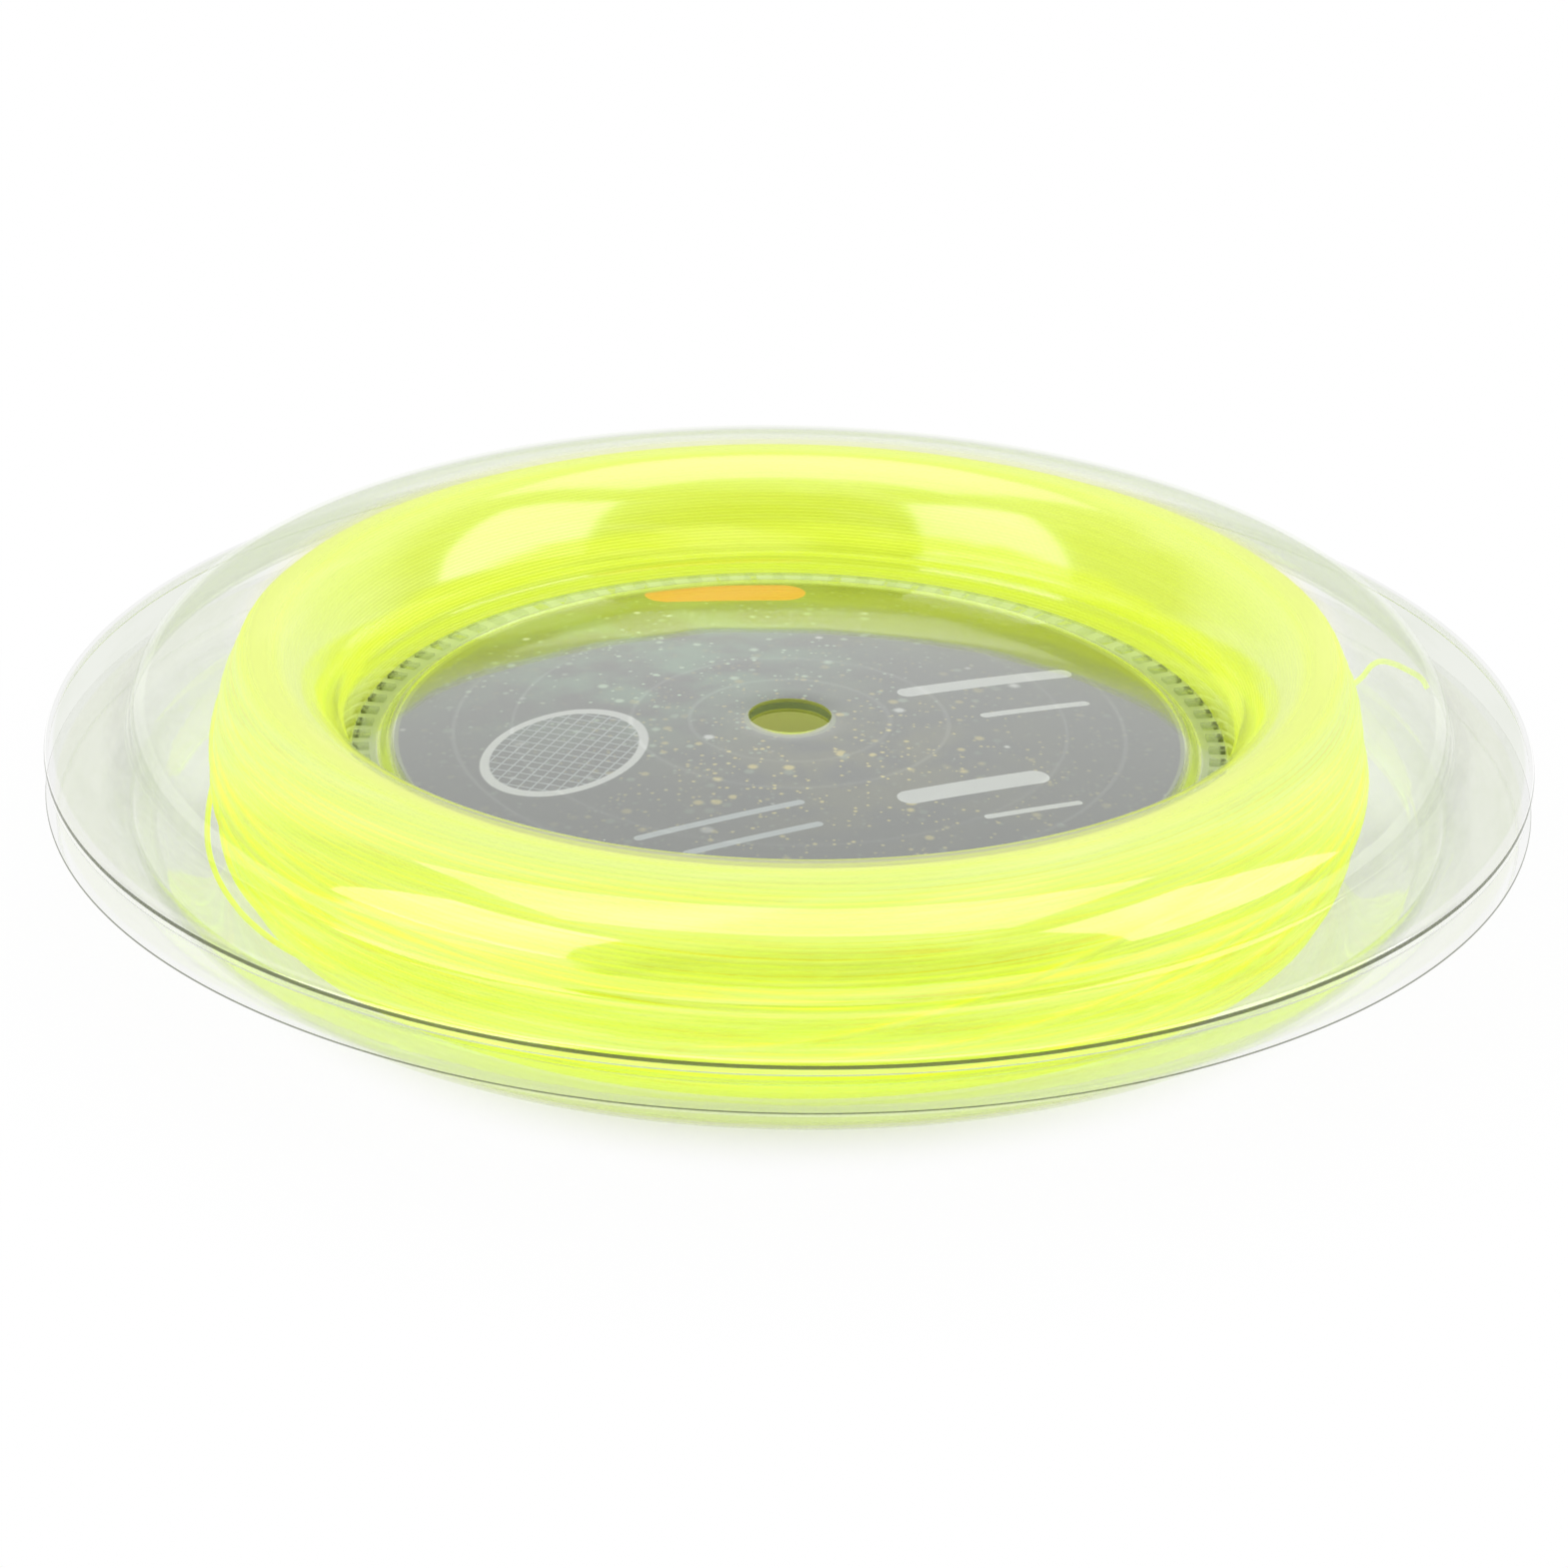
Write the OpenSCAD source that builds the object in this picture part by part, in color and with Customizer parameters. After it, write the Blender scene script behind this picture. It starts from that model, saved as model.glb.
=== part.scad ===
// String reel: two thin clear shells welded back to back round two printed card discs at a
// sunken hub, and one long badminton string wound round the hub between the shells.
// Millimetres. +Z is the reel's axis; the origin is the middle of the circle it stands on.

/* [Spool] */
// Diameter over the rims
rim_d = 180; // [176:1:190]
// Height over the two crests
spool_h = 29.2; // [28:0.1:31]
// Height over the two rims
rim_h = 6.7; // [6.4:0.1:8]
// Thickness of the clear sheet
wall = 0.5; // [0.4:0.05:0.6]
// Height of the turned-down lip on the upper rim
lip_h = 1.75; // [1.2:0.05:1.8]

/* [Hub] */
// Diameter of the spindle hole
bore_d = 10; // [8:0.5:14]
// Diameter of the hub's wall at its foot
hub_d = 106.3; // [105:0.1:108]
// Rise of the crowned hub floor at its middle
crown_h = 2.3; // [0:0.1:4]
// Height of the floor's edge above the weld groove
step_h = 1.5; // [1.2:0.1:2]
// Diameter of the crowned floor, where the step begins
floor_d = 96.6; // [96.6:0.2:98]
// Inner diameter of the weld groove
groove_d = 100.2; // [99:0.2:101]

/* [Hump] */
// Radius of the crest, halfway across its flat land
crest_r = 64.5; // [64:0.1:65]
// Outer radius of the hump's foot, where it turns into the brim
hump_r = 80; // [79:0.5:82]

/* [Labels] */
// Diameter of the card discs
label_d = 96; // [90:0.5:96.4]
// Thickness of the card discs
label_t = 0.4; // [0.2:0.05:0.5]

/* [Weld] */
// Number of weld ribs round the groove
rib_count = 90; // [60:1:110]
// Length of a rib along the radius
rib_l = 2; // [1.5:0.1:2.2]
// Width of a rib
rib_w = 1.6; // [1:0.1:1.9]
// Height of a rib
rib_t = 0.4; // [0.2:0.05:0.8]

/* [String] */
// Diameter of the string
string_d = 0.7; // [0.6:0.05:0.75]
// Outer radius of the winding
wound_r = 69.7; // [69:0.1:70.5]
// Turns in the outer layer
turns = 24; // [14:1:24]
// How far one slack turn stands off the winding
slack = 2.6; // [0:0.1:4]

/* [Hidden] */
$fn = 120;

mid = spool_h / 2;
rim_r = rim_d / 2;
bore_r = bore_d / 2;
hub_r = hub_d / 2;
floor_r = floor_d / 2;
groove_r = groove_d / 2;
rim_half = rim_h / 2;
// The flat land on the crest, on which the reel stands
land_w = 1.2;
crest_in_r = crest_r - land_w / 2;
crest_out_r = crest_r + land_w / 2;
// The hub's wall and the hump are quarter superellipses with these powers
hub_power = 1.8;
hump_power = 2.5;
// The hump's foot is a little higher than the rim, and a fold leads from one to the other
foot_half = rim_half + 0.55;
fold_h = 1.2;
fold_w = 1.6;
// Radius of the bend above the lip
bend_r = 0.8;
// Steps along the curves of the section
curve_steps = 18;
floor_steps = 6;
step_steps = 5;
bend_steps = 4;
// Air between the winding and the clear sheet round it
string_clear = 0.1;

clear_tint = [0.88, 0.91, 0.87, 0.35];
card_black = [0.12, 0.13, 0.13];
string_yellow = [0.87, 0.97, 0.2];

function quarter(a, power) = [pow(cos(a), 2 / power), pow(sin(a), 2 / power)];
function reversed(v) = [for (i = [len(v) - 1:-1:0]) v[i]];
function raised(v, dz) = [for (p = v) [p[0], p[1] + dz]];
function flipped(v) = [for (p = v) [p[0], -p[1]]];
function unit(v) = v / norm(v);
function heading(v, i) = unit(v[min(i + 1, len(v) - 1)] - v[max(i - 1, 0)]);
// Points are [radius, height over the middle plane]; the sheet's other side is to the right
function other_side(v) =
    [for (i = [0:len(v) - 1]) let (d = heading(v, i)) v[i] + wall * [d[1], -d[0]]];

// ---- Section of a hub floor's upper face: crown, step down and weld groove ----

// The crown from the bore out to a radius, its edge at the height edge_z
function crown(outer_r, edge_z) = [for (i = [0:floor_steps])
    let (r = bore_r + (outer_r - bore_r) * i / floor_steps)
    [r, edge_z + crown_h * (1 - pow(r / floor_r, 2))]];
function hub_floor(edge_z, groove_z) = concat(
    crown(floor_r, edge_z),
    [for (i = [1:step_steps])
        let (k = i / step_steps)
        [floor_r + (groove_r - floor_r) * k, groove_z + (edge_z - groove_z) * (1 + cos(180 * k)) / 2]]
);
// The two cards lie between the sheets, inside the step
upper_floor = hub_floor(wall + step_h, wall);
lower_floor = hub_floor(step_h - 2 * label_t, 0);

// ---- Section of the upper sheet: hub wall, crest, hump, brim and lip ----

hub_wall = [for (i = [0:curve_steps])
    let (q = quarter(90 * i / curve_steps, hub_power))
    [crest_in_r - (crest_in_r - hub_r) * q[0], wall + (mid - wall) * q[1]]];
hump = [for (i = [0:curve_steps])
    let (q = quarter(90 - 90 * i / curve_steps, hump_power))
    [crest_out_r + (hump_r - crest_out_r) * q[0], foot_half + (mid - foot_half) * q[1]]];
hump_above_fold = [for (p = hump) if (p[1] > foot_half + fold_h) p];
fold = [
    [hump_r + fold_w * 0.1, foot_half + fold_h * 0.45],
    [hump_r + fold_w * 0.5, foot_half + fold_h * 0.1],
    [hump_r + fold_w, foot_half - fold_h * 0.07],
    [hump_r + fold_w * 3, rim_half + fold_h * 0.17]
];
rim_bend = [for (i = [0:bend_steps])
    let (a = 90 - 90 * i / bend_steps)
    [rim_r - bend_r + bend_r * cos(a), rim_half - bend_r + bend_r * sin(a)]];
bulge = concat(hub_wall, hump_above_fold, fold);
lipped_side = concat(bulge, rim_bend, [[rim_r, rim_half - lip_h]]);
plain_side = concat(bulge, [[rim_r, rim_half]]);
// Foot of the hub wall's inner face, on the plane where the two sheets meet
weld_corner = [hub_r + wall, 0];

// ---- Section of the winding ----

wound_in_r = hub_r + wall + string_clear;
wound_half = mid - wall - string_clear;
wound_crest_r = 65;
tube_r = string_d / 2;
loop_rings = 24;
layer_facets = 6;
tail_facets = 8;
// A turn drawn in straight steps cuts its corners, and the core stays clear of it
corner_cut = wound_r * (1 - cos(180 / loop_rings));
core_clear = 0.1;
core_r = wound_r - string_d - corner_cut - core_clear;
core_half = wound_half - string_d - core_clear;
core_upper = concat(
    [for (i = [0:curve_steps])
        let (q = quarter(90 * i / curve_steps, hub_power))
        [wound_crest_r - (wound_crest_r - wound_in_r) * q[0], core_half * q[1]]],
    [for (i = [1:curve_steps])
        let (q = quarter(90 - 90 * i / curve_steps, 2))
        [wound_crest_r + (core_r - wound_crest_r) * q[0], core_half * q[1]]]
);
core_lower = [for (i = [len(core_upper) - 2:-1:1]) [core_upper[i][0], -core_upper[i][1]]];

// ---- Course of the outer layer across the winding: over the crest, down the side, under ----

course_in_r = 62;
lay_half = wound_half - tube_r;
lay_r = wound_r - tube_r;
course_upper = concat(
    [[course_in_r, lay_half]],
    [for (i = [0:curve_steps])
        let (a = 90 - 90 * i / curve_steps)
        [wound_crest_r + (lay_r - wound_crest_r) * cos(a), lay_half * sin(a)]]
);
course_lower = [for (i = [len(course_upper) - 2:-1:0]) [course_upper[i][0], -course_upper[i][1]]];
course = concat(course_upper, course_lower);
function run_length(v, i) = i == 0 ? 0 : run_length(v, i - 1) + norm(v[i] - v[i - 1]);
course_run = [for (i = [0:len(course) - 1]) run_length(course, i)];
course_len = course_run[len(course) - 1];
course_radii = [for (i = [0:len(course) - 1]) [course_run[i], course[i][0]]];
course_heights = [for (i = [0:len(course) - 1]) [course_run[i], course[i][1]]];

// A bump that is 1 at no distance and falls to 0 at the given spread, both in degrees
function bump(off, spread) = off < spread ? (1 + cos(180 * off / spread)) / 2 : 0;

// The layer starts at this angle, and half way down one turn is slack over part of its round
layer_start = 20;
slack_angle = 207;
slack_spread = 40;
slack_t = floor(turns / 2) + (slack_angle - layer_start) / 360;

// High on the side, the turns above and below the tail part round it by this much
tail_angle = 5;
tail_turn = floor(turns * 0.25);
tail_t = tail_turn + 0.5 + (tail_angle - layer_start) / 360;
part = 0.3;
part_spread = 30;
function part_at(t) = sign(t - tail_t) * part * bump(abs(abs(t - tail_t) - 0.5) * 360, part_spread);

function layer_point(t) =
    let (s = course_len * t / turns + part_at(t), a = 360 * t + layer_start,
         r = lookup(s, course_radii) + slack * bump(abs(t - slack_t) * 360, slack_spread))
    [r * cos(a), r * sin(a), mid + lookup(s, course_heights)];
layer_count = turns * loop_rings;
layer_turns = [for (i = [0:layer_count]) layer_point(i / loop_rings)];
// Both ends of the layer run straight into the core, square to its face
end_run = [0, 0, string_d * 2];
layer_path = concat([layer_turns[0] - end_run], layer_turns, [layer_turns[layer_count] + end_run]);
layer_ways = [for (p = layer_path) [p[0], p[1], 0]];

// Least gap between each turn and the next, on the points that the tube is made from
function next_turn_gap(i) = min([for (j = [-2:2])
    norm(layer_turns[i] - layer_turns[min(i + loop_rings + j, layer_count)])]) - string_d;
echo(outer_layer_gap_mm = min([for (i = [0:layer_count - loop_rings]) next_turn_gap(i)]));

// ---- Tail: the string's free end, from between two turns out to the inside of the hump ----

tail_s = course_len * tail_t / turns;
tail_foot = [lookup(tail_s, course_radii), lookup(tail_s, course_heights)];
// [outward, up, aside] from where it passes between the turns; aside is in degrees
tail_course = [
    [-1.7, -0.9, 0], [0, 0, 0], [1, 0.6, 0], [2.2, 1.4, 0.2], [3.6, 1.7, 0.6],
    [5.2, 1.4, 0.9], [6.8, 0.7, 1.2], [7.9, 0.1, 1.4], [8.4, -0.9, 1.5]
];
tail_path = [for (p = tail_course)
    let (r = tail_foot[0] + p[0], a = tail_angle + p[2])
    [r * cos(a), r * sin(a), mid + tail_foot[1] + p[1]]];
tail_ways = [for (p = tail_path) [0, 0, 1]];

// ---- Makers ----

// Ring of corners round point i of a path, its first corner square to side_way
function ring_at(path, i, r, facets, side_way) =
    let (dir = heading(path, i), side = unit(cross(side_way, dir)), up = cross(side, dir))
    [for (k = [0:facets - 1])
        path[i] + r * (side * cos(360 * k / facets) + up * sin(360 * k / facets))];

// Closed tube along a path, with a side_way for each of its points
module tube(path, r, facets, side_ways) {
    n = len(path);
    points = [for (i = [0:n - 1]) each ring_at(path, i, r, facets, side_ways[i])];
    walls = [for (i = [0:n - 2], k = [0:facets - 1])
        let (a = i * facets + k, b = i * facets + (k + 1) % facets, c = b + facets, d = a + facets)
        each [[a, b, c], [a, c, d]]];
    ends = [for (k = [1:facets - 2])
        let (last = (n - 1) * facets) each [[0, k + 1, k], [last, last + k, last + k + 1]]];
    polyhedron(points = points, faces = concat(walls, ends), convexity = 10);
}

// Body turned from a section that is drawn about the middle plane
module turned(section) {
    translate([0, 0, mid])
        rotate_extrude()
            polygon(section);
}

// A card disc that follows the crown, its upper face at the height edge_z where the step begins
module card(edge_z) {
    face = crown(label_d / 2, edge_z);
    color(card_black)
        turned(concat(face, reversed(raised(face, -label_t))));
}

// ---- Pieces ----

// Upper clear shell, with a lip turned down at its rim
module top_shell() {
    color(clear_tint)
        turned(concat(
            upper_floor, lipped_side, reversed(other_side(lipped_side)),
            [weld_corner], reversed(raised(upper_floor, -wall))
        ));
}

// Lower clear shell: plain rim, and a floor that bears the cards and follows their crown
module bottom_shell() {
    color(clear_tint)
        turned(concat(
            lower_floor, [weld_corner], flipped(other_side(plain_side)),
            reversed(flipped(plain_side)), reversed(raised(lower_floor, -wall))
        ));
}

// Ribs that the weld leaves standing in the groove
module weld_ribs() {
    rib_end_gap = 0.15;
    color(clear_tint)
        for (i = [0:rib_count - 1])
            rotate([0, 0, 360 * i / rib_count])
                translate([hub_r - rib_end_gap - rib_l, -rib_w / 2, mid + wall])
                    cube([rib_l, rib_w, rib_t]);
}

// The two cards lie back to back, each with its print outwards
module top_label() {
    card(step_h);
}

module bottom_label() {
    card(step_h - label_t);
}

// Inner bulk of the winding
module string_core() {
    color(string_yellow)
        turned(concat(core_upper, core_lower));
}

// Outer layer of the winding, one unbroken string
module string_outer_layer() {
    color(string_yellow)
        tube(layer_path, tube_r, layer_facets, layer_ways);
}

// Free end of the string
module string_tail() {
    color(string_yellow)
        tube(tail_path, tube_r, tail_facets, tail_ways);
}

top_shell();
bottom_shell();
weld_ribs();
top_label();
bottom_label();
string_core();
string_outer_layer();
string_tail();
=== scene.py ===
"""String reel: the looks of a clear welded spool, its two printed cards and its bright string.

Everything is in metres in the frame's own coordinates. Sections are lists of (radius, height)
points, and those heights are measured from the middle plane, where the two sheets are welded.
"""

import logging
import math
import random
from dataclasses import dataclass
from enum import Enum
from itertools import pairwise

import bpy
from mathutils import Matrix, Vector


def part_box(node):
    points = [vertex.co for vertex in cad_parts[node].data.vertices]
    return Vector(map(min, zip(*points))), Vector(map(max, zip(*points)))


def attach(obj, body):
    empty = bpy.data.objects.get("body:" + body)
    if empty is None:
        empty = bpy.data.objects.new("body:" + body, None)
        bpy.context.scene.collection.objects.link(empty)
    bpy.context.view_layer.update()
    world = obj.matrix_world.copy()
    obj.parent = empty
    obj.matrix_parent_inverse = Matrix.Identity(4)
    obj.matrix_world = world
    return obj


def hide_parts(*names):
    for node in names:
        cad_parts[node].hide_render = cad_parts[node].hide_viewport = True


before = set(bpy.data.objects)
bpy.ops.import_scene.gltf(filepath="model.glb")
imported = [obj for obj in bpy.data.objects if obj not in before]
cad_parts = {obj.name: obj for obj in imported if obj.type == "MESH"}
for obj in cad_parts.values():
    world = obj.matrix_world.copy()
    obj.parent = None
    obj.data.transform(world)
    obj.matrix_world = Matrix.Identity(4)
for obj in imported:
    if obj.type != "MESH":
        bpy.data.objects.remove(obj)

LOG = logging.getLogger("string_reel")
MM = 0.001
TURN = 2 * math.pi

Point = tuple[float, float]
Place = tuple[float, float, float]
Colour = tuple[float, float, float, float]


# Sizes


def in_mm(*sizes: float) -> list[float]:
    """Turns sizes in metres into millimetres."""
    return [size / MM for size in sizes]


@dataclass(frozen=True)
class SpoolSizes:
    """Driving sizes of the clear spool, partly read from the frame."""

    rim_r: float
    half_height: float
    middle: float
    label_r: float
    bore_r: float = 5.0 * MM
    wall: float = 0.5 * MM
    rim_half: float = 3.35 * MM
    lip_height: float = 1.75 * MM
    bend_r: float = 0.8 * MM
    hub_r: float = 53.15 * MM
    floor_r: float = 48.3 * MM
    groove_r: float = 50.1 * MM
    crown_rise: float = 2.3 * MM
    step_height: float = 1.5 * MM
    card_thickness: float = 0.4 * MM
    crest_in_r: float = 63.9 * MM
    crest_out_r: float = 65.1 * MM
    hump_r: float = 80.0 * MM
    foot_half: float = 3.9 * MM
    hub_power: float = 1.8
    hump_power: float = 2.5

    @classmethod
    def from_frame(cls) -> "SpoolSizes":
        """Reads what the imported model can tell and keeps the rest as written."""
        low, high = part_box("top_shell")
        _, card_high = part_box("top_label")
        return cls(rim_r=high.x, half_height=high.z - low.z, middle=low.z, label_r=card_high.x)


@dataclass(frozen=True)
class WindingSizes:
    """Driving sizes of the wound string."""

    string_r: float = 0.35 * MM
    inner_r: float = 53.75 * MM
    half_height: float = 14.0 * MM
    crest_r: float = 65.0 * MM
    outer_r: float = 69.7 * MM
    close_pitch: float = 0.42 * MM
    loose_pitch: float = 0.64 * MM
    hub_power: float = 1.8
    outer_power: float = 2.0


# Curves in the section


def arc(foot: Point, top: Point, power: float, steps: int, falling: bool = False) -> list[Point]:
    """Draws a quarter superellipse from its steep foot to its level top.

    Args:
        foot: The point where it is steep.
        top: The point where it is level.
        power: 2 is an ellipse; more is squarer.
        steps: Steps of the curve.
        falling: Whether it is drawn from the top down.

    Returns:
        Its points, both ends included.
    """
    points = []
    for i in range(steps + 1):
        angle = math.pi / 2 * (1 - i / steps) if falling else math.pi / 2 * i / steps
        across = max(math.cos(angle), 0.0) ** (2 / power)
        up = max(math.sin(angle), 0.0) ** (2 / power)
        points.append((top[0] + (foot[0] - top[0]) * across, foot[1] + (top[1] - foot[1]) * up))
    return points


def bezier(p0: Point, p1: Point, p2: Point, p3: Point, steps: int) -> list[Point]:
    """Makes a cubic curve from p0 to p3, both ends included."""
    points = []
    for i in range(steps + 1):
        t = i / steps
        weights = ((1 - t) ** 3, 3 * t * (1 - t) ** 2, 3 * t * t * (1 - t), t ** 3)
        points.append(tuple(
            sum(w * p[k] for w, p in zip(weights, (p0, p1, p2, p3))) for k in (0, 1)
        ))
    return points


def shifted(run: list[Point], lift: float) -> list[Point]:
    """Raises a run of section points by the given height."""
    return [(r, z + lift) for r, z in run]


def mirrored(run: list[Point]) -> list[Point]:
    """Turns a run of section points over, about the middle plane."""
    return [(r, -z) for r, z in run]


def beside(run: list[Point], distance: float) -> list[Point]:
    """Makes the run that lies at a distance to the right of another.

    Args:
        run: The points of the first run.
        distance: How far the new run lies from it.

    Returns:
        As many points as the first run has.
    """
    points = []
    for i, (r, z) in enumerate(run):
        before = run[max(i - 1, 0)]
        after = run[min(i + 1, len(run) - 1)]
        along = Vector((after[0] - before[0], after[1] - before[1])).normalized()
        points.append((r + distance * along.y, z - distance * along.x))
    return points


# Modelling by hand


def nothing_selected() -> None:
    """Leaves edit mode and deselects every object."""
    if bpy.context.object and bpy.context.object.mode != "OBJECT":
        bpy.ops.object.mode_set(mode="OBJECT")
    bpy.ops.object.select_all(action="DESELECT")


def only_selected(piece: bpy.types.Object) -> None:
    """Selects one object alone and makes it the active one."""
    nothing_selected()
    piece.select_set(True)
    bpy.context.view_layer.objects.active = piece


def turned_body(name: str, section: list[Point], steps: int, middle: float) -> bpy.types.Object:
    """Draws a closed section point by point and spins it round the spindle's axis.

    Args:
        name: Name of the new object.
        section: The section's corners, with heights from the middle plane.
        steps: Steps of the full turn.
        middle: Height of the middle plane.

    Returns:
        The closed body.
    """
    nothing_selected()
    first = section[0]
    bpy.ops.mesh.primitive_plane_add(size=MM, location=(first[0], 0, middle + first[1]))
    piece = bpy.context.object
    piece.name = piece.data.name = name
    bpy.ops.object.transform_apply(location=True, rotation=True, scale=True)
    bpy.ops.object.mode_set(mode="EDIT")
    bpy.ops.mesh.merge(type="CENTER")
    for (r0, z0), (r1, z1) in pairwise([*section, first]):
        bpy.ops.mesh.extrude_vertices_move(TRANSFORM_OT_translate={"value": (r1 - r0, 0, z1 - z0)})
    bpy.ops.mesh.select_all(action="SELECT")
    bpy.ops.mesh.remove_doubles(threshold=MM / 1000)
    bpy.ops.mesh.spin(steps=steps, angle=TURN, center=(0, 0, 0), axis=(0, 0, 1))
    bpy.ops.mesh.select_all(action="SELECT")
    bpy.ops.mesh.remove_doubles(threshold=MM / 1000)
    bpy.ops.mesh.normals_make_consistent(inside=False)
    bpy.ops.object.mode_set(mode="OBJECT")
    return piece


def softened(piece: bpy.types.Object, width: float, smooth_angle: float) -> None:
    """Rounds a body's sharp edges and shades the rest smooth.

    Args:
        piece: The object.
        width: Width of the rounding.
        smooth_angle: Largest angle between faces that are shaded as one, in degrees.
    """
    only_selected(piece)
    rounding = piece.modifiers.new("rounded_edges", "BEVEL")
    rounding.width = width
    rounding.segments = 2
    rounding.limit_method = "ANGLE"
    rounding.angle_limit = math.radians(60)
    bpy.ops.object.modifier_apply(modifier=rounding.name)
    bpy.ops.object.shade_smooth_by_angle(angle=math.radians(smooth_angle))


def strands(name: str, paths: list[list[Place]], radius: float, fine: int) -> bpy.types.Object:
    """Draws round strings along paths, as one mesh of closed tubes.

    Args:
        name: Name of the new object.
        paths: The points of each string's middle.
        radius: The string's radius.
        fine: 1 gives 6 sides, 2 gives 8, and so on.

    Returns:
        The mesh object.
    """
    nothing_selected()
    curve = bpy.data.curves.new(name, "CURVE")
    curve.dimensions = "3D"
    curve.twist_mode = "Z_UP"
    curve.bevel_depth = radius
    curve.bevel_resolution = fine
    curve.use_fill_caps = True
    for path in paths:
        spline = curve.splines.new("POLY")
        spline.points.add(len(path) - 1)
        for point, (x, y, z) in zip(spline.points, path):
            point.co = (x, y, z, 1.0)
    piece = bpy.data.objects.new(name, curve)
    bpy.context.scene.collection.objects.link(piece)
    only_selected(piece)
    bpy.ops.object.convert(target="MESH")
    bpy.ops.object.mode_set(mode="EDIT")
    bpy.ops.mesh.select_all(action="SELECT")
    bpy.ops.mesh.normals_make_consistent(inside=False)
    bpy.ops.object.mode_set(mode="OBJECT")
    bpy.ops.object.shade_smooth_by_angle(angle=math.radians(75))
    return bpy.context.object


def handed_over(
    piece: bpy.types.Object, finish: bpy.types.Material, slot: str, *nodes: str
) -> None:
    """Dresses a piece and lets it ride with the reel and stand for its CAD nodes."""
    dress(piece, finish)
    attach(piece, "root")
    if nodes:
        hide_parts(*nodes)
    LOG.info("%s: %d faces", piece.name, len(piece.data.polygons))


# Writing materials down

Socket = bpy.types.NodeSocket
Value = float | Socket


class Graph:
    """A node tree that is written down one node at a time."""

    def __init__(self, tree: bpy.types.NodeTree) -> None:
        """Starts on an emptied tree."""
        self.tree = tree
        tree.nodes.clear()

    def add(self, kind: str, **settings: object) -> bpy.types.Node:
        """Adds a node of a kind and gives it its settings."""
        node = self.tree.nodes.new(kind)
        for name, value in settings.items():
            setattr(node, name, value)
        return node

    def feed(self, socket: Socket, value: Value | Place | Colour) -> None:
        """Links a socket to another, or sets its own value."""
        if isinstance(value, bpy.types.NodeSocket):
            self.tree.links.new(value, socket)
        else:
            socket.default_value = value

    def supply(self, node: bpy.types.Node, **inputs: Value | Place | Colour) -> bpy.types.Node:
        """Feeds a node's inputs, whose names are given with underscores."""
        for name, value in inputs.items():
            self.feed(node.inputs[name.replace("_", " ")], value)
        return node

    def math(self, operation: str, a: Value, b: Value = 0.0, clamp: bool = False) -> Socket:
        """Adds a Math node and gives its result."""
        node = self.add("ShaderNodeMath", operation=operation, use_clamp=clamp)
        self.feed(node.inputs[0], a)
        self.feed(node.inputs[1], b)
        return node.outputs[0]

    def ramp(self, value: Value, low: float, high: float) -> Socket:
        """Rises smoothly from 0 at low to 1 at high; low may be the larger one."""
        rising = low < high
        return self.supply(
            self.add("ShaderNodeMapRange", interpolation_type="SMOOTHSTEP"),
            Value=value, From_Min=min(low, high), From_Max=max(low, high),
            To_Min=0.0 if rising else 1.0, To_Max=1.0 if rising else 0.0,
        ).outputs["Result"]

    def band(self, value: Value, low: float, high: float, soft: float) -> Socket:
        """Is 1 between low and high and 0 outside, with soft sides."""
        up = self.ramp(value, low - soft, low + soft)
        down = self.ramp(value, high + soft, high - soft)
        return self.math("MULTIPLY", up, down)

    def chain(self, operation: str, values: tuple[Value, ...]) -> Socket:
        """Joins values by one operation, from left to right."""
        result = values[0]
        for value in values[1:]:
            result = self.math(operation, result, value)
        return result

    def product(self, *values: Value) -> Socket:
        """Multiplies values together."""
        return self.chain("MULTIPLY", values)

    def total(self, *values: Value) -> Socket:
        """Adds values together."""
        return self.chain("ADD", values)

    def most(self, *values: Value) -> Socket:
        """Gives the largest of several values."""
        return self.chain("MAXIMUM", values)

    def rest(self, share: Value) -> Socket:
        """Gives what a share leaves of 1."""
        return self.math("SUBTRACT", 1.0, share)

    def line(self, value: Value, slope: float, start: float) -> Socket:
        """Scales a value and adds a number to it."""
        return self.total(self.product(value, slope), start)

    def distance(self, x: Socket, y: Socket) -> Socket:
        """Gives the length of a way that goes x one way and y across it."""
        return self.math("SQRT", self.total(self.product(x, x), self.product(y, y)))

    def blend(self, amount: Value, a: Socket | Colour, b: Socket | Colour) -> Socket:
        """Goes from colour a to colour b."""
        node = self.add("ShaderNodeMix", data_type="RGBA")
        self.feed(node.inputs[0], amount)
        self.feed(node.inputs[6], a)
        self.feed(node.inputs[7], b)
        return node.outputs[2]

    def join(self, x: Value, y: Value, z: Value) -> Socket:
        """Makes a vector of three values."""
        node = self.add("ShaderNodeCombineXYZ")
        for socket, value in zip(node.inputs, (x, y, z)):
            self.feed(socket, value)
        return node.outputs[0]

    def split(self, vector: Socket) -> tuple[Socket, Socket, Socket]:
        """Takes a vector apart."""
        node = self.add("ShaderNodeSeparateXYZ")
        self.feed(node.inputs[0], vector)
        return node.outputs[0], node.outputs[1], node.outputs[2]

    def stretched(self, vector: Socket, scale: Place, shift: Place = (0.0, 0.0, 0.0)) -> Socket:
        """Scales and moves a vector with a Mapping node."""
        node = self.add("ShaderNodeMapping")
        return self.supply(node, Vector=vector, Scale=scale, Location=shift).outputs[0]

    def noise(self, vector: Socket, scale: Value, detail: float = 2.0) -> Socket:
        """Adds a Noise Texture and gives its value."""
        node = self.add("ShaderNodeTexNoise")
        return self.supply(node, Vector=vector, Scale=scale, Detail=detail).outputs[0]

    def place(self) -> Socket:
        """Gives the point's place on its object, in metres."""
        return self.add("ShaderNodeTexCoord").outputs["Object"]

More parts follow.
